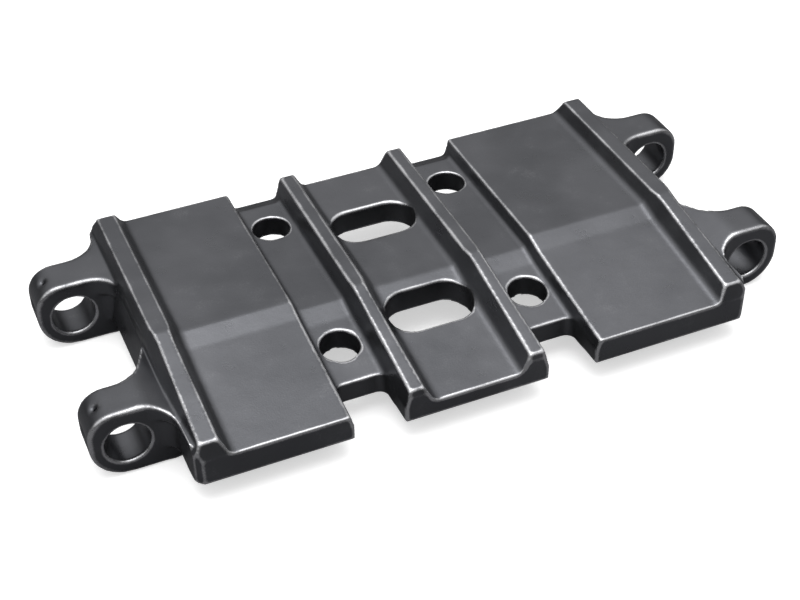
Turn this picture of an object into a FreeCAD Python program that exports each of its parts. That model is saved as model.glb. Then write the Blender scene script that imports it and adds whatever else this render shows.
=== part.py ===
import FreeCAD, Part

import math
import os

import Sketcher

# Track shoe of an excavator: one steel casting. A ribbed plate is cranked down
# towards its near end, four bolt holes and two slots go through it, and two
# bored lugs stand out at each end for the pins that join it to its neighbours.
# X runs along the shoe from lug to lug, Y along the ribs and the pins, Z is up.
# The origin is on the ground, under the middle of the plate.

# Every size that can be set by itself: alias, millimetres or degrees, meaning.
SIZES = (
    ("shoe_length", 400, "over the outer edges of the two outer rib tops"),
    ("shoe_width", 250, "along the ribs, from near end to far end"),
    ("deck_height", 53, "top of the pads above the ground, far part"),
    ("plate_thickness", 27, "pads, square to the deck"),
    ("end_thickness", 20, "pads at the bevelled near end"),
    ("end_bevel_run", 38, "length of that bevel along the ribs"),
    ("bottom_radius", 6, "long lower corners of the plate"),
    ("knee_offset", 24, "knee line from the middle, towards the near end"),
    ("ramp_run", 16, "length of the steep band at the knee"),
    ("ramp_drop", 4, "drop over that band"),
    ("near_slope", 7.8, "degrees, slope of the near part"),
    ("rib_draft", 28, "degrees, flanks of the ribs that face a pad or panel"),
    ("gap_draft", 13, "degrees, flanks that face a gap"),
    ("pad_edge_radius", 1.5, "long edges of the pads beside the gaps"),
    ("rib_foot_radius", 6, "foot of a rib"),
    ("gap_foot_radius", 4, "corners of a gap floor"),
    ("outer_rib_rise", 11, "outer rib tops above the deck"),
    ("outer_rib_top", 13.5, "width of an outer rib top"),
    ("outer_flank", 8.5, "height of the drafted flank outside an outer rib"),
    ("inner_rib_rise", 5, "inner rib tops above the deck"),
    ("inner_rib_top", 11, "width of an inner rib top"),
    ("centre_offset", 7, "middle of the panel from mid length, to the left"),
    ("panel_width", 78, "between the inner rib tops"),
    ("panel_depth", 8, "panel below the deck"),
    ("gap_width", 42, "from an inner rib top to the pad beside it"),
    ("gap_depth", 10, "gap floors below the deck"),
    ("notch_depth", 37, "open end of each gap, in from the near end"),
    ("notch_radius", 6, "inner corners of a notch"),
    ("floor_bevel_run", 12, "sloping far end of a gap floor"),
    ("floor_bevel_drop", 4, "drop over that bevel"),
    ("floor_bevel_radius", 3.5, "corners of that bevel"),
    ("rib_end_setback", 4.5, "rib tops, in from both ends"),
    ("rib_end_lift", 0.4, "foot of that slant above the pads"),
    ("knee_trim", 0.2, "least height trimmed off the rib tops at the knee"),
    ("corner_chamfer", 4.5, "upright corners of the plate"),
    ("bolt_hole", 28, "diameter, for M27 shoe bolts"),
    ("bolt_spacing_x", 144, "between bolt holes along the shoe"),
    ("bolt_spacing_y", 138, "between bolt holes along the ribs"),
    ("bolt_offset_y", 14.5, "middle of the bolt pattern from mid width"),
    ("slot_length", 65, "over its round ends"),
    ("slot_width", 38, "across"),
    ("slot_flat", 0.2, "straight part left at each round end of a slot"),
    ("slot_spacing", 102, "between the two slots"),
    ("slot_offset_y", 6.5, "middle of the slot pair from mid width"),
    ("pin_reach", 236, "pin axis from mid length"),
    ("pin_height", 26, "pin axis above the ground"),
    ("pin_bore", 31, "diameter, for a 30 mm pin"),
    ("bore_chamfer", 1.2, "at both faces of a lug"),
    ("bore_groove_width", 0.8, "witness ring at mid depth of a bore"),
    ("bore_groove_depth", 0.4, "depth of that ring"),
    ("lug_radius", 25.5, "nose of a lug around the pin"),
    ("lug_crown", 27.5, "flat top of a lug above the pin axis"),
    ("lug_crown_radius", 19, "upper corner of the nose"),
    ("lug_width", 30, "along the pin"),
    ("far_lug_inset", 30, "far face of the far lugs, in from the far end"),
    ("near_lug_inset", 47, "near face of the near lugs, in from the near end"),
    ("lug_bend_radius", 25, "bend in the top of a near lug"),
    ("lug_dip_start", 17, "near lugs: top starts to fall, out from the wall"),
    ("lug_dip", 7, "near lugs: top at the wall, below the flat top"),
    ("far_bay_radius", 24, "far side of the far lugs into the wall"),
    ("far_bay_step", 3, "wall beside the far lugs, out from the plate"),
    ("mid_bay_radius", 22, "far side of the near lugs into the wall"),
    ("mid_bay_flare", 17, "how far out that side leans at the lug"),
    ("mid_bay_run", 41, "how far along the wall it runs"),
    ("far_lug_radius", 20, "near side of the far lugs into the wall"),
    ("near_bay_radius", 17, "near side of the near lugs into the wall"),
    ("near_bay_flare", 2, "how far out that side leans at the lug"),
    ("near_bay_run", 40, "how far along the wall it runs"),
    ("skirt_height", 14, "underside of the end walls above the ground"),
    ("skirt_inside", 14, "thickness of that underside, in from the plate end"),
    ("skirt_bulge", 5.5, "foot of the wall between the lugs, out from the plate"),
    ("skirt_radius", 3, "long lower edges of that wall"),
    ("skirt_drop", 9, "top of that wall below the deck"),
    ("skirt_step", 1, "foot of that wall below its neighbours, and further in"),
    ("bay_end_radius", 20, "where a bay runs out into the wall"),
    ("scoop_radius", 12, "deeper hollow between a bore and the wall"),
    ("scoop_step", 0.5, "wall left in front of the plate inside a scoop"),
    ("scoop_lip", 7, "thickness of the lips above and below it"),
    ("keel_radius", 10, "where a keel leaves the ground"),
    ("keel_run", 34, "how far a lug runs out under the plate"),
    ("keel_foot", 2, "flat foot of a lug, in from the plate end"),
    ("root_depth", 5, "how far the lugs reach up into the plate"),
    ("lock_hole", 4, "diameter, lock pin hole from the nose of a left lug to its bore"),
    ("lock_spot", 9, "diameter of the spot face around it"),
    ("lock_spot_depth", 0.7, "depth of that spot face"),
    ("lock_angle", 33, "degrees, axis of that hole, out from upright"),
    ("nose_slot_length", 18, "recess in the nose of a left lug, along the pin"),
    ("nose_slot_height", 9, "height of that recess"),
    ("nose_slot_depth", 2, "depth of that recess"),
    ("overshoot", 5, "how far a cutting outline runs past what it cuts"),
)

SIDES = (("left", -1), ("right", 1))


def make_sheet(doc):
    """Put the driving sizes in a spreadsheet, one alias to a row."""
    sheet = doc.addObject("Spreadsheet::Sheet", "Sizes")
    for row, (alias, number, meaning) in enumerate(SIZES, start=1):
        sheet.set(f"A{row}", meaning)
        sheet.set(f"B{row}", str(number))
        sheet.setAlias(f"B{row}", alias)
    doc.recompute()
    return sheet


doc = FreeCAD.newDocument("TrackShoe")
sizes = make_sheet(doc)
body = doc.addObject("PartDesign::Body", "TrackShoeBody")
body.Label = "track_shoe"


def value(formula):
    """Number that a formula of sheet cells gives."""
    result = sizes.evalExpression(formula)
    return float(getattr(result, "Value", result))


def bind(obj, prop, formula):
    """Bind a property of a feature to a formula of sheet cells."""
    obj.setExpression(prop, formula)


def origin_plane(role):
    """Origin plane of the body, such as XZ_Plane."""
    return next(o for o in body.Origin.OriginFeatures if o.Role == role)


def new_sketch(name, role, offset="0 mm", lift="0 mm", shift="0 mm", turn=None):
    """Sketch on an origin plane, moved along its normal, its y and its x axis."""
    sketch = body.newObject("Sketcher::SketchObject", name)
    sketch.AttachmentSupport = [(origin_plane(role), "")]
    sketch.MapMode = "FlatFace"
    bind(sketch, "AttachmentOffset.Base.z", offset)
    bind(sketch, "AttachmentOffset.Base.y", lift)
    bind(sketch, "AttachmentOffset.Base.x", shift)
    if turn:
        bind(sketch, "AttachmentOffset.Rotation.Angle", turn)
    return sketch


def pin_down(sketch, geo, pos, corner):
    """Fix a point of the sketch at the formulas of its two coordinates."""
    for kind, formula in zip(("DistanceX", "DistanceY"), corner):
        index = sketch.addConstraint(
            Sketcher.Constraint(kind, -1, 1, geo, pos, value(formula)))
        sketch.setExpression(f"Constraints[{index}]", formula)


def corner_arc(before, at, after, radius):
    """Arc that rounds a corner, with the points where its two sides end."""
    to_before = (before - at).normalize()
    to_after = (after - at).normalize()
    half = to_before.getAngle(to_after) / 2
    start = at + to_before * (radius / math.tan(half))
    end = at + to_after * (radius / math.tan(half))
    centre = at + (to_before + to_after).normalize() * (radius / math.sin(half))
    turns_left = to_before.cross(to_after).z < 0
    first, last = (start, end) if turns_left else (end, start)
    angles = [math.atan2((p - centre).y, (p - centre).x) for p in (first, last)]
    circle = Part.Circle(centre, FreeCAD.Vector(0, 0, 1), radius)
    return Part.ArcOfCircle(circle, *angles), start, end, turns_left


def draw_outline(sketch, corners):
    """Closed outline from corners (x, y, radius), each a formula or None."""
    spots = [FreeCAD.Vector(value(x), value(y), 0) for x, y, radius in corners]
    count = len(corners)
    starts, ends, arcs = list(spots), list(spots), {}
    for i, (x, y, radius) in enumerate(corners):
        if radius:
            arc, starts[i], ends[i], left = corner_arc(
                spots[i - 1], spots[i], spots[(i + 1) % count], value(radius))
            arcs[i] = (arc, left)
    lines = [sketch.addGeometry(Part.LineSegment(ends[i], starts[(i + 1) % count]))
             for i in range(count)]
    for i, (x, y, radius) in enumerate(corners):
        before, after = lines[i - 1], lines[i]
        if i not in arcs:
            sketch.addConstraint(Sketcher.Constraint("Coincident", before, 2, after, 1))
            pin_down(sketch, after, 1, (x, y))
            continue
        arc, left = arcs[i]
        geo = sketch.addGeometry(arc)
        entry, exit_ = (1, 2) if left else (2, 1)
        sketch.addConstraint(Sketcher.Constraint("Tangent", before, 2, geo, entry))
        sketch.addConstraint(Sketcher.Constraint("Tangent", geo, exit_, after, 1))
        index = sketch.addConstraint(Sketcher.Constraint("Radius", geo, value(radius)))
        sketch.setExpression(f"Constraints[{index}]", radius)
        point = sketch.addGeometry(Part.Point(spots[i]), True)
        sketch.addConstraint(Sketcher.Constraint("PointOnObject", point, 1, before))
        sketch.addConstraint(Sketcher.Constraint("PointOnObject", point, 1, after))
        pin_down(sketch, point, 1, (x, y))


def draw_circle(sketch, x, y, diameter):
    """Circle at the formulas of its centre, with a bound diameter."""
    centre = FreeCAD.Vector(value(x), value(y), 0)
    circle = Part.Circle(centre, FreeCAD.Vector(0, 0, 1), value(diameter) / 2)
    geo = sketch.addGeometry(circle)
    pin_down(sketch, geo, 3, (x, y))
    index = sketch.addConstraint(Sketcher.Constraint("Diameter", geo, 2 * circle.Radius))
    sketch.setExpression(f"Constraints[{index}]", diameter)


def pad(name, sketch, length, reverse=False, both_sides=False):
    """Pad of a sketch along its normal."""
    feature = body.newObject("PartDesign::Pad", name)
    feature.Profile = sketch
    feature.Reversed = reverse
    feature.Midplane = both_sides
    bind(feature, "Length", length)
    sketch.Visibility = False
    return feature


def cut(name, sketch, length, reverse=False, both_sides=False):
    """Pocket of a sketch, which must take material away."""
    doc.recompute()
    before = body.Shape.Volume
    feature = body.newObject("PartDesign::Pocket", name)
    feature.Profile = sketch
    feature.Reversed = reverse
    feature.Midplane = both_sides
    bind(feature, "Length", length)
    doc.recompute()
    if not body.Shape.Volume < before:
        raise RuntimeError(f"{name} cuts nothing")
    return feature


def turn_out(name, sketch):
    """Groove of a sketch round its own y axis, which must take material away."""
    doc.recompute()
    before = body.Shape.Volume
    feature = body.newObject("PartDesign::Groove", name)
    feature.Profile = sketch
    feature.ReferenceAxis = (sketch, ["V_Axis"])
    feature.Angle = 360
    doc.recompute()
    if not body.Shape.Volume < before:
        raise RuntimeError(f"{name} cuts nothing")
    return feature


# Places that several features share, as formulas of the sheet.
DECK = "Sizes.deck_height"
FLOOR = "(Sizes.deck_height - Sizes.gap_depth)"
PANEL = "(Sizes.deck_height - Sizes.panel_depth)"
BOTTOM = "(Sizes.deck_height - Sizes.plate_thickness)"
OUTER_TOP = "(Sizes.deck_height + Sizes.outer_rib_rise)"
INNER_TOP = "(Sizes.deck_height + Sizes.inner_rib_rise)"
FAR_END = "(Sizes.shoe_width / 2)"
RAMP_START = "(-Sizes.knee_offset + Sizes.ramp_run / 2)"
RAMP_END = "(-Sizes.knee_offset - Sizes.ramp_run / 2)"
NEAR_RUN = f"({FAR_END} + {RAMP_END})"
NEAR_DROP = f"(Sizes.ramp_drop + {NEAR_RUN} * tan(Sizes.near_slope * 1 deg))"
RIB_SLOPE = f"({NEAR_DROP} / ({FAR_END} - Sizes.knee_offset))"
SPARE = (f"(Sizes.ramp_drop - {RIB_SLOPE} * Sizes.ramp_run / 2"
         " + Sizes.knee_trim)")
HALF_LENGTH = "Sizes.shoe_length / 2"
FLANK_LEAN = "Sizes.outer_flank * tan(Sizes.rib_draft * 1 deg)"
WALL = f"({HALF_LENGTH} + {FLANK_LEAN})"
RIB_IN = f"({HALF_LENGTH} - Sizes.outer_rib_top)"
PAD_FOOT = f"({RIB_IN} - Sizes.outer_rib_rise * tan(Sizes.rib_draft * 1 deg))"
PANEL_EDGE = "Sizes.panel_width / 2"
PANEL_LEAN = ("(Sizes.inner_rib_rise + Sizes.panel_depth)"
              " * tan(Sizes.rib_draft * 1 deg)")
PANEL_FOOT = f"({PANEL_EDGE} - {PANEL_LEAN})"
INNER_OUT = f"({PANEL_EDGE} + Sizes.inner_rib_top)"
GAP_LEAN = ("(Sizes.inner_rib_rise + Sizes.gap_depth)"
            " * tan(Sizes.gap_draft * 1 deg)")
GAP_FOOT = f"({INNER_OUT} + {GAP_LEAN})"
PAD_EDGE = f"({INNER_OUT} + Sizes.gap_width)"
PAD_LEAN = "Sizes.gap_depth * tan(Sizes.gap_draft * 1 deg)"
PAD_EDGE_FOOT = f"({PAD_EDGE} - {PAD_LEAN})"
NEAR_FACE = f"(Sizes.near_lug_inset - {FAR_END})"
FAR_FACE = f"({FAR_END} - Sizes.far_lug_inset - Sizes.lug_width)"
LUG_TOP = "(Sizes.pin_height + Sizes.lug_crown)"
LUG_NOSE = "(Sizes.pin_reach + Sizes.lug_radius)"
RIB_MIDDLE = f"({HALF_LENGTH} - Sizes.outer_rib_top / 2)"
PAST = "Sizes.overshoot"
# The lugs: name, near face, and how far their top dips towards the wall.
LUGS = (
    ("Far", FAR_FACE, "0"),
    ("Near", NEAR_FACE, "Sizes.lug_dip"),
)


def half_section(spare):
    """Corners of the right half of the plate's section, bottom to panel.

    The third entry says whether x is measured from the panel's middle. The
    ribs are drawn higher by spare, on the same flanks, to be cut down later."""
    foot = "Sizes.rib_foot_radius"
    gap = "Sizes.gap_foot_radius"
    rib = f"{spare} * tan(Sizes.rib_draft * 1 deg)"
    lean = f"{spare} * tan(Sizes.gap_draft * 1 deg)"
    return (
        (WALL, BOTTOM, False, "Sizes.bottom_radius"),
        (WALL, f"({OUTER_TOP} - Sizes.outer_flank)", False, foot),
        (f"({HALF_LENGTH} - {rib})", f"({OUTER_TOP} + {spare})", False, None),
        (f"({RIB_IN} + {rib})", f"({OUTER_TOP} + {spare})", False, None),
        (PAD_FOOT, DECK, False, foot),
        (PAD_EDGE, DECK, True, "Sizes.pad_edge_radius"),
        (PAD_EDGE_FOOT, FLOOR, True, gap),
        (GAP_FOOT, FLOOR, True, gap),
        (f"({INNER_OUT} - {lean})", f"({INNER_TOP} + {spare})", True, None),
        (f"({PANEL_EDGE} + {rib})", f"({INNER_TOP} + {spare})", True, None),
        (PANEL_FOOT, PANEL, True, foot),
    )


def section_corners(spare):
    """Whole section: right half from the bottom up, then the left half down."""
    right, left = [], []
    for x, level, from_panel, radius in half_section(spare):
        shift = " - Sizes.centre_offset" if from_panel else ""
        right.append((f"{x}{shift}", level, radius))
        left.append((f"-{x}{shift}", level, radius))
    return right + left[::-1]


def build_plate():
    """Plate and ribs: one section run along Y in three straight spans."""
    spans = (
        ("FarSpan", RAMP_START, "0 mm", f"{FAR_END} - {RAMP_START}", 1, "0"),
        ("RampSpan", RAMP_START, "0 mm", "Sizes.ramp_run", -1,
         "Sizes.ramp_drop / Sizes.ramp_run"),
        ("NearSpan", RAMP_END, "-Sizes.ramp_drop", NEAR_RUN, -1,
         "tan(Sizes.near_slope * 1 deg)"),
    )
    for name, start, lift, run, way, slope in spans:
        sketch = new_sketch(f"{name}Section", "XZ_Plane", f"-{start}", lift)
        draw_outline(sketch, section_corners("0" if name == "FarSpan" else SPARE))
        span = pad(name, sketch, run)
        span.UseCustomVector = True
        span.AlongSketchNormal = True
        span.Direction = FreeCAD.Vector(0, way, -value(slope))
        bind(span, "Direction.z", f"-{slope}")


def trim_ribs():
    """Cut the ribs down to tops that bend only once, at the knee line."""
    trims = (
        ("Outer", OUTER_TOP, "0 mm", "3 * Sizes.shoe_length"),
        ("Inner", INNER_TOP, "-Sizes.centre_offset", f"2 * {INNER_OUT} + {PAST}"),
    )
    for name, top, offset, run in trims:
        sketch = new_sketch(f"{name}RibTops", "YZ_Plane", offset)
        low = f"({top} - {RIB_SLOPE} * ({FAR_END} - Sizes.knee_offset + {PAST}))"
        draw_outline(sketch, (
            (RAMP_START, top, None),
            (RAMP_START, f"{top} + 3 * {PAST}", None),
            (f"-{FAR_END} - {PAST}", f"{top} + 3 * {PAST}", None),
            (f"-{FAR_END} - {PAST}", low, None),
            ("-Sizes.knee_offset", top, None),
        ))
        cut(f"{name}RibTopCut", sketch, run, both_sides=True)


def bevel_near_end():
    """Slope the underside of the near end, so that its end face is lower."""
    sketch = new_sketch("NearBevel", "YZ_Plane")
    start = f"(Sizes.end_bevel_run - {FAR_END})"
    level = f"({BOTTOM} - {NEAR_DROP})"
    start_level = f"({level} + Sizes.end_bevel_run * tan(Sizes.near_slope * 1 deg))"
    end_level = f"({DECK} - {NEAR_DROP} - Sizes.end_thickness)"
    rise = f"(({end_level} - {start_level}) / Sizes.end_bevel_run)"
    draw_outline(sketch, (
        (start, start_level, None),
        (start, f"{level} - {PAST}", None),
        (f"-{FAR_END} - {PAST}", f"{level} - {PAST}", None),
        (f"-{FAR_END} - {PAST}", f"{end_level} + {PAST} * {rise}", None),
    ))
    cut("NearBevelCut", sketch, "3 * Sizes.shoe_length", both_sides=True)


def set_back_rib_ends():
    """Slant the far and near ends of the ribs, down to the level of the pads."""
    back = "Sizes.rib_end_setback"
    near_top = f"({OUTER_TOP} - {NEAR_DROP})"
    for name, end, top in (("Far", FAR_END, OUTER_TOP), ("Near", f"-{FAR_END}", near_top)):
        sketch = new_sketch(f"{name}RibEnds", "YZ_Plane")
        out, back_in = ("+", "-") if name == "Far" else ("-", "+")
        height = "(Sizes.outer_rib_rise - Sizes.rib_end_lift)"
        foot = f"({top} - {height})"
        corners = [
            (end, foot, None),
            (f"({end} {out} {back})", foot, None),
            (f"({end} {out} {back})", f"({top} + {height})", None),
            (f"({end} {back_in} 1.5 * {back})", f"({top} + {height} / 2)", None),
        ]
        draw_outline(sketch, corners if name == "Far" else corners[::-1])
        cut(f"{name}RibEndCut", sketch, "3 * Sizes.shoe_length", both_sides=True)


def gap_span(way, inner, outer):
    """x of a gap's two walls, at the right (way 1) or the left (way -1)."""
    sign = "" if way > 0 else "-"
    return [f"({sign}{x} - Sizes.centre_offset)" for x in (inner, outer)][::way]


def open_gap_ends():
    """Notch the near end of each gap and slope the far end of its floor."""
    for side, way in SIDES:
        name = side.capitalize()
        low, high = gap_span(way, GAP_FOOT, PAD_EDGE_FOOT)
        inside = f"(Sizes.notch_depth - {FAR_END})"
        notch = new_sketch(f"{name}Notch", "XY_Plane")
        draw_outline(notch, (
            (low, f"-{FAR_END} - {PAST}", None),
            (high, f"-{FAR_END} - {PAST}", None),
            (high, inside, "Sizes.notch_radius"),
            (low, inside, "Sizes.notch_radius"),
        ))
        cut(f"{name}NotchCut", notch, "4 * Sizes.deck_height", both_sides=True)
        drop = "Sizes.floor_bevel_drop"
        in_foot = f"({GAP_FOOT} + {drop} * tan(Sizes.gap_draft * 1 deg))"
        out_foot = f"({PAD_EDGE_FOOT} - {drop} * tan(Sizes.gap_draft * 1 deg))"
        low, high = gap_span(way, in_foot, out_foot)
        upper_low, upper_high = gap_span(way, GAP_FOOT, PAD_EDGE_FOOT)
        slope = f"({drop} / Sizes.floor_bevel_run)"
        sketch = new_sketch(f"{name}FloorEnd", "XZ_Plane", f"-{FAR_END}")
        draw_outline(sketch, (
            (low, f"{FLOOR} - {drop}", "Sizes.floor_bevel_radius"),
            (high, f"{FLOOR} - {drop}", "Sizes.floor_bevel_radius"),
            (upper_high, f"{FLOOR} + {PAST} / 5", None),
            (upper_low, f"{FLOOR} + {PAST} / 5", None),
        ))
        doc.recompute()
        bevel = body.newObject("PartDesign::Pocket", f"{name}FloorEndCut")
        bevel.Profile = sketch
        bevel.UseCustomVector = True
        bevel.AlongSketchNormal = True
        bevel.Direction = FreeCAD.Vector(0, -1, value(slope))
        bind(bevel, "Direction.z", slope)
        bind(bevel, "Length", "2 * Sizes.floor_bevel_run")
        doc.recompute()


def open_plate():
    """Bolt holes and slots, straight down through the plate."""
    sketch = new_sketch("BoltHoles", "XY_Plane")
    for way_x in ("-", "+"):
        for way_y in ("-", "+"):
            draw_circle(sketch, f"-Sizes.centre_offset {way_x} Sizes.bolt_spacing_x / 2",
                        f"Sizes.bolt_offset_y {way_y} Sizes.bolt_spacing_y / 2",
                        "Sizes.bolt_hole")
    cut("BoltHoleCut", sketch, "4 * Sizes.deck_height", both_sides=True)
    sketch = new_sketch("Slots", "XY_Plane")
    half = "(Sizes.slot_length / 2)"
    wide = "(Sizes.slot_width / 2)"
    for way_y in ("-", "+"):
        mid = f"(Sizes.slot_offset_y {way_y} Sizes.slot_spacing / 2)"
        draw_outline(sketch, [
            (f"{x} - Sizes.centre_offset", f"{mid} {y}", "(Sizes.slot_width - Sizes.slot_flat) / 2")
            for x, y in ((f"-{half}", f"- {wide}"), (half, f"- {wide}"),
                         (half, f"+ {wide}"), (f"-{half}", f"+ {wide}"))])
    cut("SlotCut", sketch, "4 * Sizes.deck_height", both_sides=True)


def chamfer_corners():
    """Take off the four upright corners of the plate, with the end walls."""
    sketch = new_sketch("PlateCorners", "XY_Plane")
    back = "Sizes.corner_chamfer"
    for sx in ("-", ""):
        for sy in ("-", ""):
            step = "0" if sy else "Sizes.far_bay_step"
            wall, end = f"{sx}({WALL} + {step})", f"{sy}{FAR_END}"
            in_x = f"{sx}({WALL} + {step} - {back})"
            out_x = f"{sx}({WALL} + {step} + {PAST})"
            in_y = f"{sy}({FAR_END} - {back})"
            out_y = f"{sy}({FAR_END} + {PAST})"
            corners = [(in_x, end, None), (in_x, out_y, None), (out_x, out_y, None),
                       (out_x, in_y, None), (wall, in_y, None)]
            draw_outline(sketch, corners if sx == sy else corners[::-1])
    cut("PlateCornerCut", sketch, "4 * Sizes.deck_height", both_sides=True)


def oriented(corners, way):
    """Corners in the order that runs to the left round the outline."""
    return corners if way > 0 else corners[::-1]


def lug_top_corners(sign, place, dip):
    """Top of a lug from its nose to inside the outer rib."""
    fall = f"({dip} / Sizes.lug_dip_start)"
    inner_top = f"({LUG_TOP} - {fall} * (Sizes.lug_dip_start + {WALL} - {RIB_MIDDLE}))"
    corners = [(f"{sign}{LUG_NOSE}", LUG_TOP, "Sizes.lug_crown_radius")]
    if place == "Near":
        bend = f"{sign}({WALL} + Sizes.lug_dip_start)"
        corners.append((bend, LUG_TOP, "Sizes.lug_bend_radius"))
    return corners + [(f"{sign}{RIB_MIDDLE}", inner_top, None)]


def build_lugs():
    """Each lug with its keel under the plate, and the wall block beside it."""
    for side, way in SIDES:
        sign = "" if way > 0 else "-"
        for place, face, dip in LUGS:
            name = f"{side.capitalize()}{place}"
            top = lug_top_corners(sign, place, dip)
            under = f"({BOTTOM} + Sizes.root_depth)"
            if place == "Near":
                under = f"({under} - {NEAR_DROP} / 2)"
            lug = new_sketch(f"{name}Lug", "XZ_Plane", f"-{face}")
            draw_outline(lug, oriented([
                (f"{sign}({WALL} - Sizes.keel_run)", under, None),
                (f"{sign}({WALL} - Sizes.keel_foot)", "0", "Sizes.keel_radius"),
                (f"{sign}{LUG_NOSE}", "0", "Sizes.lug_radius"),
                *top,
                (f"{sign}{RIB_MIDDLE}", under, None),
            ], way))
            pad(f"{name}LugPad", lug, "Sizes.lug_width", reverse=True)
            if place == "Far":
                start = f"({face} - Sizes.far_lug_radius - Sizes.scoop_step)"
                run = f"({FAR_END} - {start})"
            else:
                start = f"({face} - Sizes.near_bay_run)"
                run = ("(Sizes.near_bay_run + Sizes.lug_width + Sizes.mid_bay_run"
                       f" + {PAST})")
            block = new_sketch(f"{name}Wall", "XZ_Plane", f"-{start}")
            out = f"{sign}({WALL} + Sizes.mid_bay_radius + Sizes.mid_bay_flare)"
            top[0] = (out, LUG_TOP, None)
            draw_outline(block, oriented([
                (f"{sign}({WALL} - Sizes.skirt_inside)", "Sizes.skirt_height", None),
                (out, "Sizes.skirt_height", None),
                *top,
                (f"{sign}{RIB_MIDDLE}", f"({BOTTOM} + Sizes.root_depth)", None),
                (f"{sign}({WALL} - Sizes.skirt_inside)", f"({BOTTOM} + Sizes.root_depth)", None),
            ], way))
            pad(f"{name}WallPad", block, run, reverse=True)


def cut_bays():
    """Clear the space beside every lug, with a round corner at the wall."""
    sketch = new_sketch("Bays", "XY_Plane")
    reach = "(Sizes.pin_reach + 2 * Sizes.lug_radius)"
    near, far = NEAR_FACE, FAR_FACE
    near_back = f"({near} + Sizes.lug_width)"
    far_back = f"({far} + Sizes.lug_width)"
    for side, way in SIDES:
        sign = "" if way > 0 else "-"
        wall = f"{sign}{WALL}"
        bays = (
            [
                (wall, "-Sizes.shoe_width", None),
                (f"{sign}{reach}", "-Sizes.shoe_width", None),
                (f"{sign}{reach}", near, None),
                (f"{sign}({WALL} + Sizes.near_bay_flare)", near, "Sizes.near_bay_radius"),
                (wall, f"({near} - Sizes.near_bay_run)", "Sizes.bay_end_radius"),
            ],
            [
                (f"{sign}({WALL} + Sizes.mid_bay_flare)", near_back, "Sizes.mid_bay_radius"),
                (f"{sign}{reach}", near_back, None),
                (f"{sign}{reach}", far, None),
                (wall, far, "Sizes.far_lug_radius"),
                (wall, f"({near_back} + Sizes.mid_bay_run)", "Sizes.bay_end_radius"),
            ],
            [
                (f"{sign}({WALL} + Sizes.far_bay_step)", far_back, "Sizes.far_bay_radius"),
                (f"{sign}{reach}", far_back, None),
                (f"{sign}{reach}", "Sizes.shoe_width", None),
                (f"{sign}({WALL} + Sizes.far_bay_step)", "Sizes.shoe_width", None),
            ],
        )
        for corners in bays:
            draw_outline(sketch, oriented(corners, way))
    cut("BayCut", sketch, "4 * Sizes.deck_height", both_sides=True)


def cut_scoops():
    """Hollow the near side of each lug between its bore and the wall."""
    sketch = new_sketch("Scoops", "XY_Plane", "Sizes.scoop_lip + Sizes.skirt_height / 2")
    for side, way in SIDES:
        sign = "" if way > 0 else "-"
        for place, face, dip in LUGS:
            front = f"({face} - Sizes.far_lug_radius - {PAST})"
            out = f"{sign}({WALL} + Sizes.far_lug_radius + {PAST})"
            draw_outline(sketch, oriented([
                (f"{sign}({WALL} + Sizes.scoop_step)", front, None),
                (out, front, None),
                (out, face, None),
                (f"{sign}({WALL} + Sizes.scoop_step)", face, "Sizes.scoop_radius"),
            ], way))
    depth = f"({LUG_TOP} - Sizes.lug_dip - 2 * Sizes.scoop_lip - Sizes.skirt_height / 2)"
    cut("ScoopCut", sketch, depth, reverse=True)


def build_skirts():
    """Wall between the two lugs at each end, thicker towards its foot."""
    start = f"({NEAR_FACE} + Sizes.lug_width - {PAST})"
    run = f"({FAR_FACE} + {PAST} - {start})"
    for side, way in SIDES:
        sign = "" if way > 0 else "-"
        foot = "(Sizes.skirt_height - Sizes.skirt_step)"
        top = f"({DECK} - Sizes.skirt_drop)"
        inside = f"{sign}({WALL} - Sizes.skirt_inside - Sizes.skirt_step)"
        sketch = new_sketch(f"{side.capitalize()}Skirt", "XZ_Plane", f"-{start}")
        draw_outline(sketch, oriented([
            (inside, foot, "Sizes.skirt_radius"),
            (f"{sign}({WALL} + Sizes.skirt_bulge)", foot, "Sizes.skirt_radius"),
            (f"{sign}({WALL} + Sizes.scoop_step)", top, None),
            (inside, top, None),
        ], way))
        pad(f"{side.capitalize()}SkirtPad", sketch, run, reverse=True)


def bore_lugs():
    """One straight bore through both lugs at each end, with a witness ring."""
    sketch = new_sketch("PinBores", "XZ_Plane")
    for sign in ("-", ""):
        draw_circle(sketch, f"{sign}Sizes.pin_reach", "Sizes.pin_height", "Sizes.pin_bore")
    cut("PinBoreCut", sketch, "2 * Sizes.shoe_width", both_sides=True)
    for place, face, dip in LUGS:
        middle = f"({face} + Sizes.lug_width / 2 - Sizes.bore_groove_width / 2)"
        ring = new_sketch(f"{place}WitnessRing", "XZ_Plane", f"-{middle}")
        for sign in ("-", ""):
            draw_circle(ring, f"{sign}Sizes.pin_reach", "Sizes.pin_height",
                        "(Sizes.pin_bore + 2 * Sizes.bore_groove_depth)")
        cut(f"{place}WitnessRingCut", ring, "Sizes.bore_groove_width")


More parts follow.
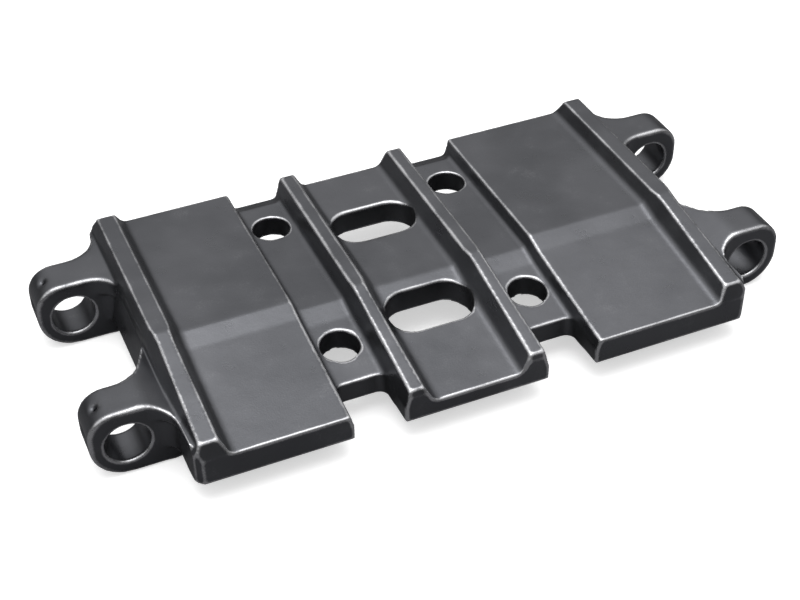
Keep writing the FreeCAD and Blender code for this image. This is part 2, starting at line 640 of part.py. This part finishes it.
def chamfer_bores():
    """Chamfer the bores where they leave the faces of the lugs."""
    inside = f"(Sizes.pin_bore / 2 - {PAST} / 10)"
    rim = "(Sizes.pin_bore / 2 + Sizes.bore_chamfer)"
    deep = f"(Sizes.bore_chamfer + {PAST} / 10)"
    for side, way in SIDES:
        shift = "Sizes.pin_reach" if way > 0 else "-Sizes.pin_reach"
        sketch = new_sketch(f"{side.capitalize()}BoreMouths", "XY_Plane",
                            "Sizes.pin_height", shift=shift)
        for place, face, dip in LUGS:
            back = f"({face} + Sizes.lug_width)"
            draw_outline(sketch, (
                (inside, f"{face} - Sizes.mid_bay_radius / 2", None),
                (rim, f"{face} - Sizes.mid_bay_radius / 2", None),
                (rim, face, None),
                (inside, f"({face} + {deep})", None),
            ))
            draw_outline(sketch, (
                (inside, f"({back} - {deep})", None),
                (rim, back, None),
                (rim, f"({back} + Sizes.mid_bay_radius / 2)", None),
                (inside, f"({back} + Sizes.mid_bay_radius / 2)", None),
            ))
        turn_out(f"{side.capitalize()}BoreChamfers", sketch)


def crown_reach():
    """Formula: from the pin axis to the crown of a nose, along a lock hole."""
    out = "(Sizes.lug_radius - Sizes.lug_crown_radius)"
    up = "(Sizes.lug_crown - Sizes.lug_crown_radius)"
    along = (f"({out} * sin(Sizes.lock_angle * 1 deg)"
             f" + {up} * cos(Sizes.lock_angle * 1 deg))")
    return f"({along} + sqrt({along}^2 + Sizes.lug_crown_radius^2 - {out}^2 - {up}^2))"


def drill_lock_holes():
    """Lock pin hole from the nose of each left lug into its bore."""
    crown = crown_reach()
    spot = f"({crown} - Sizes.lock_spot_depth)"
    for place, face, dip in LUGS:
        middle = f"({face} + Sizes.lug_width / 2)"
        sketch = new_sketch(f"{place}LockHole", "XZ_Plane", f"-{middle}",
                            "Sizes.pin_height", "-Sizes.pin_reach",
                            "Sizes.lock_angle * 1 deg")
        draw_outline(sketch, (
            ("0", f"(Sizes.pin_bore / 2 - {PAST})", None),
            ("(Sizes.lock_hole / 2)", f"(Sizes.pin_bore / 2 - {PAST})", None),
            ("(Sizes.lock_hole / 2)", spot, None),
            ("(Sizes.lock_spot / 2)", spot, None),
            ("(Sizes.lock_spot / 2)", f"({crown} + {PAST})", None),
            ("0", f"({crown} + {PAST})", None),
        ))
        turn_out(f"{place}LockHoleCut", sketch)


def recess_noses():
    """Long shallow recess across the nose of each left lug."""
    sketch = new_sketch("NoseRecesses", "YZ_Plane", f"-{LUG_NOSE}")
    half = "(Sizes.nose_slot_length / 2)"
    low = "(Sizes.lug_radius + Sizes.slot_flat / 2)"
    high = f"({low} + Sizes.nose_slot_height)"
    corner = "(Sizes.nose_slot_height - Sizes.slot_flat) / 2"
    for place, face, dip in LUGS:
        middle = f"({face} + Sizes.lug_width / 2)"
        draw_outline(sketch, (
            (f"({middle} - {half})", low, corner),
            (f"({middle} + {half})", low, corner),
            (f"({middle} + {half})", high, corner),
            (f"({middle} - {half})", high, corner),
        ))
    cut("NoseRecessCut", sketch, "Sizes.nose_slot_depth", reverse=True)


def check_model():
    """Stop when a feature failed or the casting isn't one sound solid."""
    doc.recompute()
    failed = [obj.Name for obj in doc.Objects
              if {"Invalid", "Error"} & set(obj.State)]
    if failed:
        raise RuntimeError(f"features that failed: {failed}")
    shape = body.Shape
    if shape.isNull() or not shape.isValid() or len(shape.Solids) != 1:
        raise RuntimeError("the casting is not one sound solid")


build_plate()
trim_ribs()
bevel_near_end()
set_back_rib_ends()
open_gap_ends()
open_plate()
build_lugs()
cut_bays()
cut_scoops()
build_skirts()
chamfer_corners()
bore_lugs()
chamfer_bores()
drill_lock_holes()
recess_noses()
check_model()
os.makedirs("parts", exist_ok=True)
body.Shape.exportStep("parts/track_shoe.step")
print("track_shoe", round(body.Shape.Volume), body.Shape.BoundBox)
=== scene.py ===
"""Track shoe of an excavator: looks, light and camera. Metres, same frame as the CAD."""
import math

import bpy
import numpy as np
from mathutils import Matrix, Vector
from mathutils.kdtree import KDTree


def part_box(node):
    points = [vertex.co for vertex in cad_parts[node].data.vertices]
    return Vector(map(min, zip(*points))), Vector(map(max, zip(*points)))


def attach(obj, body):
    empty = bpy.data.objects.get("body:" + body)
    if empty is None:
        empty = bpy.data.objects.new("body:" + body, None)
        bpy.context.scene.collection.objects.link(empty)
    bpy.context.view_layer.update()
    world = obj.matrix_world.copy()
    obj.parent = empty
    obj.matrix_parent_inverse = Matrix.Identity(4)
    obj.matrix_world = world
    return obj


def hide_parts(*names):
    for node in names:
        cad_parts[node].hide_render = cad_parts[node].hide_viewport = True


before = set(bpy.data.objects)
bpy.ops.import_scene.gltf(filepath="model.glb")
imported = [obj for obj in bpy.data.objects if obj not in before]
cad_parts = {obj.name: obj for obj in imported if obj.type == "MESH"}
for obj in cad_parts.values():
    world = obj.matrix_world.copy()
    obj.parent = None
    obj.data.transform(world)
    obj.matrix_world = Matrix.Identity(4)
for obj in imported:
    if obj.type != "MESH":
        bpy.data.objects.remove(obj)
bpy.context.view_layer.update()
scene = bpy.context.scene
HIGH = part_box("track_shoe")[1]


# ---------------------------------------------------------------- skin mesh

VOXEL = 0.0011
MAX_TRIANGLES = 186000
# How far the end wall and the pin axis lie in from the noses of the lugs.
WALL_IN = 0.0573
PIN_IN = 0.0255
PIN_HEIGHT = 0.026
# The lugs are softened from just outside the wall, but not in their bores.
LUG_START, LUG_FULL = 0.002, 0.010
BORE_SHARP, BORE_SOFT = 0.0165, 0.0185
RELAX = 0.5
CAST_ROUNDS, LUG_ROUNDS = 3, 9


def apply_modifiers(obj):
    """Replace an object's mesh by what its modifiers make of it."""
    graph = bpy.context.evaluated_depsgraph_get()
    graph.update()
    mesh = bpy.data.meshes.new_from_object(obj.evaluated_get(graph))
    obj.modifiers.clear()
    obj.data = mesh


def read_points(mesh):
    """Vertices of a mesh as an array."""
    points = np.empty(len(mesh.vertices) * 3)
    mesh.vertices.foreach_get("co", points)
    return points.reshape(-1, 3)


def write_points(mesh, points):
    """Put an array of points back in a mesh."""
    mesh.vertices.foreach_set("co", points.ravel())
    mesh.update()


def edge_pairs(mesh):
    """Vertex numbers of a mesh's edges."""
    pairs = np.empty(len(mesh.edges) * 2, dtype=np.int64)
    mesh.edges.foreach_get("vertices", pairs)
    return pairs.reshape(-1, 2)


def neighbour_mean(values, pairs, counts):
    """Mean of each vertex's neighbours."""
    total = np.zeros_like(values)
    np.add.at(total, pairs[:, 0], values[pairs[:, 1]])
    np.add.at(total, pairs[:, 1], values[pairs[:, 0]])
    return total / counts.reshape((-1,) + (1,) * (values.ndim - 1))


def relax(points, pairs, counts, strength, rounds):
    """Round a mesh off; strength is one number for each vertex."""
    for _ in range(rounds):
        away = neighbour_mean(points, pairs, counts) - points
        points = points + strength[:, None] * away
    return points


def smooth_step(low, high, x):
    """0 below low, 1 above high, smooth between."""
    t = np.clip((x - low) / (high - low), 0, 1)
    return t * t * (3 - 2 * t)


def make_skin(source):
    """Dense copy of the CAD solid with cast edges, rounder on the lugs."""
    skin = bpy.data.objects.new("shoe_casting", source.data.copy())
    scene.collection.objects.link(skin)
    remesh = skin.modifiers.new("voxels", "REMESH")
    remesh.mode = "VOXEL"
    remesh.voxel_size = VOXEL
    apply_modifiers(skin)
    mesh = skin.data
    points = read_points(mesh)
    pairs = edge_pairs(mesh)
    counts = np.bincount(pairs.ravel(), minlength=len(points)).astype(float)
    reach = np.abs(points[:, 0])
    lug = smooth_step(LUG_START, LUG_FULL, reach - (HIGH.x - WALL_IN))
    from_pin = np.hypot(reach - (HIGH.x - PIN_IN), points[:, 2] - PIN_HEIGHT)
    in_bore = 1 - smooth_step(BORE_SHARP, BORE_SOFT, from_pin)
    cast = np.full(len(points), RELAX)
    points = relax(points, pairs, counts, cast, CAST_ROUNDS)
    points = relax(points, pairs, counts, RELAX * lug * (1 - in_bore), LUG_ROUNDS)
    write_points(mesh, points)
    edge = convexity(mesh, points, pairs, counts)
    thin = skin.modifiers.new("fewer", "DECIMATE")
    triangles = sum(len(p.vertices) - 2 for p in mesh.polygons)
    thin.ratio = min(1, MAX_TRIANGLES / triangles)
    apply_modifiers(skin)
    carry_over(skin.data, points, edge)
    skin.data.shade_smooth()
    return skin


def convexity(mesh, points, pairs, counts):
    """How far each vertex stands out of its surroundings: above 0 on edges."""
    normals = np.empty(len(points) * 3)
    mesh.vertices.foreach_get("normal", normals)
    normals = normals.reshape(-1, 3)
    away = points - neighbour_mean(points, pairs, counts)
    height = (away * normals).sum(1)
    for _ in range(2):
        height = 0.5 * height + 0.5 * neighbour_mean(height, pairs, counts)
    return height / VOXEL


def carry_over(mesh, points, values):
    """Give a mesh the values of the nearest points of a denser one."""
    tree = KDTree(len(points))
    for i, point in enumerate(points):
        tree.insert(point, i)
    tree.balance()
    found = [tree.find(v.co)[1] for v in mesh.vertices]
    layer = mesh.attributes.new("edge", "FLOAT", "POINT")
    layer.data.foreach_set("value", values[found].astype(np.float32))


# ---------------------------------------------------------------- materials


class Nodes:
    """Short way to build a node tree."""

    def __init__(self, tree):
        self.tree = tree
        tree.nodes.clear()

    def add(self, kind, inputs=None, **settings):
        """Node of a kind, with settings, and inputs that are values or sockets."""
        node = self.tree.nodes.new(kind)
        for name, setting in settings.items():
            setattr(node, name, setting)
        for name, value in (inputs or {}).items():
            if isinstance(value, bpy.types.NodeSocket):
                self.tree.links.new(value, node.inputs[name])
            else:
                node.inputs[name].default_value = value
        return node

    def noise(self, where, scale, detail, rough):
        """Noise factor at a scale given in features to the metre."""
        node = self.add("ShaderNodeTexNoise", {
            "Vector": where, "Scale": scale, "Detail": detail, "Roughness": rough})
        return node.outputs["Fac"]

    def span(self, value, low, high, new_low=0.0, new_high=1.0):
        """Value mapped smoothly from one range to another, clamped."""
        node = self.add("ShaderNodeMapRange", {
            "Value": value, "From Min": low, "From Max": high,
            "To Min": new_low, "To Max": new_high},
            interpolation_type="SMOOTHSTEP")
        return node.outputs["Result"]

    def math(self, operation, a, b=0.0):
        """Result of a sum on two values or sockets."""
        node = self.add("ShaderNodeMath", {0: a, 1: b}, operation=operation)
        return node.outputs["Value"]

    def blend(self, factor, a, b):
        """Colour between two colours."""
        node = self.add("ShaderNodeMix", data_type="RGBA")
        for name, value in (("Factor_Float", factor), ("A_Color", a), ("B_Color", b)):
            socket = next(s for s in node.inputs if s.identifier == name)
            if isinstance(value, bpy.types.NodeSocket):
                self.tree.links.new(value, socket)
            else:
                socket.default_value = value
        return next(s for s in node.outputs if s.identifier == "Result_Color")


def steel_material():
    """Dark oiled casting: fine grain, mottling, worn bright edges and bores, and painted
    shade in the hollows.
    """
    material = bpy.data.materials.new("cast_steel")
    material.use_nodes = True
    n = Nodes(material.node_tree)
    where = n.add("ShaderNodeTexCoord").outputs["Object"]
    edge = n.add("ShaderNodeAttribute", attribute_name="edge").outputs["Fac"]
    grain = n.noise(where, 900, 3, 0.6)
    fine = n.noise(where, 2600, 2, 0.5)
    mottle = n.noise(where, 45, 5, 0.62)
    broad = n.noise(where, 11, 3, 0.5)
    # Bright metal shows where an edge stands out, broken up by the grain.
    breakup = n.math("MULTIPLY", n.math("ADD", mottle, grain), n.math("ADD", mottle, 0.5))
    worn = n.span(n.math("MULTIPLY", edge, breakup), 0.02, 0.07)
    patches = n.span(n.math("ADD", n.math("MULTIPLY", mottle, 0.6),
                            n.math("MULTIPLY", grain, 0.4)), 0.55, 0.70)
    dark = (0.115, 0.118, 0.128, 1)
    mid = (0.150, 0.153, 0.165, 1)
    base = n.blend(n.span(broad, 0.35, 0.65), dark, mid)
    base = n.blend(n.math("MULTIPLY", patches, 0.35), base, (0.24, 0.242, 0.255, 1))
    base = n.blend(n.math("MULTIPLY", worn, 0.85), base, (0.72, 0.72, 0.74, 1))
    # Painted shade: concave hollows and creases are darkened in the base colour.
    hollow_shade = n.span(edge, -0.02, -0.12)
    base = n.blend(n.math("MULTIPLY", hollow_shade, 0.5), base, (0.05, 0.05, 0.055, 1))
    rough = n.span(mottle, 0.3, 0.7, 0.27, 0.37)
    rough = n.math("SUBTRACT", rough, n.math("MULTIPLY", worn, 0.08))
    bump = n.add("ShaderNodeBump", {
        "Height": grain, "Strength": 0.35, "Distance": 0.00025})
    bump = n.add("ShaderNodeBump", {
        "Height": fine, "Strength": 0.25, "Distance": 0.0001,
        "Normal": bump.outputs["Normal"]})
    bump = n.add("ShaderNodeBump", {
        "Height": mottle, "Strength": 0.3, "Distance": 0.0008,
        "Normal": bump.outputs["Normal"]})
    shader = n.add("ShaderNodeBsdfPrincipled", {
        "Base Color": base, "Metallic": 0.9, "Roughness": rough,
        "Normal": bump.outputs["Normal"], "Coat Weight": 0.15, "Coat Roughness": 0.22})
    out = n.add("ShaderNodeOutputMaterial")
    material.node_tree.links.new(shader.outputs["BSDF"], out.inputs["Surface"])
    return material


# ------------------------------------------------------------ floor and light


FLOOR_REACH = 6.0
FLOOR_LEVEL = -0.0004


def make_floor():
    """White floor with soft shadows, which looks dark in the metal."""
    size = FLOOR_REACH
    corners = [(-size, -size, 0), (size, -size, 0), (size, size, 0), (-size, size, 0)]
    mesh = bpy.data.meshes.new("floor")
    mesh.from_pydata(corners, [], [(0, 1, 2, 3)])
    floor = bpy.data.objects.new("floor", mesh)
    scene.collection.objects.link(floor)
    floor.location.z = FLOOR_LEVEL
    material = bpy.data.materials.new("floor")
    material.use_nodes = True
    n = Nodes(material.node_tree)
    path = n.add("ShaderNodeLightPath")
    seen = path.outputs["Is Camera Ray"]
    matt = n.add("ShaderNodeBsdfDiffuse", {"Color": (0.9, 0.9, 0.9, 1)})
    glow = n.add("ShaderNodeEmission", {"Color": (1, 1, 1, 1), "Strength": 0.55})
    pale = n.add("ShaderNodeAddShader")
    dull = n.add("ShaderNodeBsdfDiffuse", {"Color": (0.16, 0.16, 0.165, 1)})
    mix = n.add("ShaderNodeMixShader", {"Fac": seen})
    links = material.node_tree.links
    links.new(dull.outputs["BSDF"], mix.inputs[1])
    links.new(matt.outputs["BSDF"], pale.inputs[0])
    links.new(glow.outputs["Emission"], pale.inputs[1])
    links.new(pale.outputs["Shader"], mix.inputs[2])
    out = n.add("ShaderNodeOutputMaterial")
    links.new(mix.outputs["Shader"], out.inputs["Surface"])
    mesh.materials.append(material)


def area_light(name, place, target, size, power):
    """Square soft light aimed at a point."""
    data = bpy.data.lights.new(name, "AREA")
    data.shape = "RECTANGLE"
    data.size, data.size_y = size
    data.energy = power
    light = bpy.data.objects.new(name, data)
    light.location = place
    aim = (Vector(target) - Vector(place)).to_track_quat("-Z", "Y")
    light.rotation_euler = aim.to_euler()
    scene.collection.objects.link(light)


def make_world():
    """White for the camera; for the metal, dark at the horizon, bright overhead."""
    world = bpy.data.worlds.new("studio")
    scene.world = world
    world.use_nodes = True
    n = Nodes(world.node_tree)
    where = n.add("ShaderNodeTexCoord").outputs["Generated"]
    height = n.add("ShaderNodeSeparateXYZ", {"Vector": where}).outputs["Z"]
    sky = n.math("ADD", n.span(height, 0.1, 0.85, 0.06, 0.9),
                 n.span(height, 0.86, 0.97, 0.0, 2.2))
    tone = n.add("ShaderNodeCombineColor", {"Red": sky, "Green": sky, "Blue": sky})
    tone = tone.outputs["Color"]
    seen = n.add("ShaderNodeLightPath").outputs["Is Camera Ray"]
    tone = n.blend(seen, tone, (1, 1, 1, 1))
    shader = n.add("ShaderNodeBackground", {"Color": tone, "Strength": 1.0})
    out = n.add("ShaderNodeOutputWorld")
    world.node_tree.links.new(shader.outputs["Background"], out.inputs["Surface"])


# Camera: yaw, pitch and roll in degrees, lens in mm, and the way from the eye
# to the middle of the deck along its right, up and view directions.
TURN = (-22.76, 39.03, -1.09)
LENS = 68.45
DECK_HEIGHT = 0.053
TO_DECK = (0.00931, 0.03419, 1.09478)


def make_camera():
    """Long lens looking down on the shoe from its near side."""
    yaw, pitch, roll = map(math.radians, TURN)
    ahead = -Vector((math.sin(yaw) * math.cos(pitch), -math.cos(yaw) * math.cos(pitch),
                     math.sin(pitch)))
    side = Vector((math.cos(yaw), math.sin(yaw), 0))
    above = side.cross(ahead)
    right = math.cos(roll) * side + math.sin(roll) * above
    above = math.cos(roll) * above - math.sin(roll) * side
    data = bpy.data.cameras.new("camera")
    data.sensor_fit = "HORIZONTAL"
    data.sensor_width = 36
    data.lens = LENS
    data.clip_start = 0.05
    camera = bpy.data.objects.new("camera", data)
    turn = Matrix((right, above, -ahead)).transposed().to_4x4()
    centre = Vector((0, 0, DECK_HEIGHT))
    for axis, way in zip((right, above, ahead), TO_DECK):
        centre -= axis * way
    camera.matrix_world = Matrix.Translation(centre) @ turn
    scene.collection.objects.link(camera)
    scene.camera = camera


make_camera()
skin = make_skin(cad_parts["track_shoe"])
skin.data.materials.clear()
skin.data.materials.append(steel_material())
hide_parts("track_shoe")
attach(skin, "root")
make_floor()
make_world()
area_light("overhead", (-0.2, 0.9, 1.9), (0, 0, 0), (1.5, 0.6), 0.7)
area_light("left", (-1.8, -0.3, 1.2), (0, 0, 0), (1.0, 1.0), 0.6)
scene.view_settings.view_transform = "Standard"
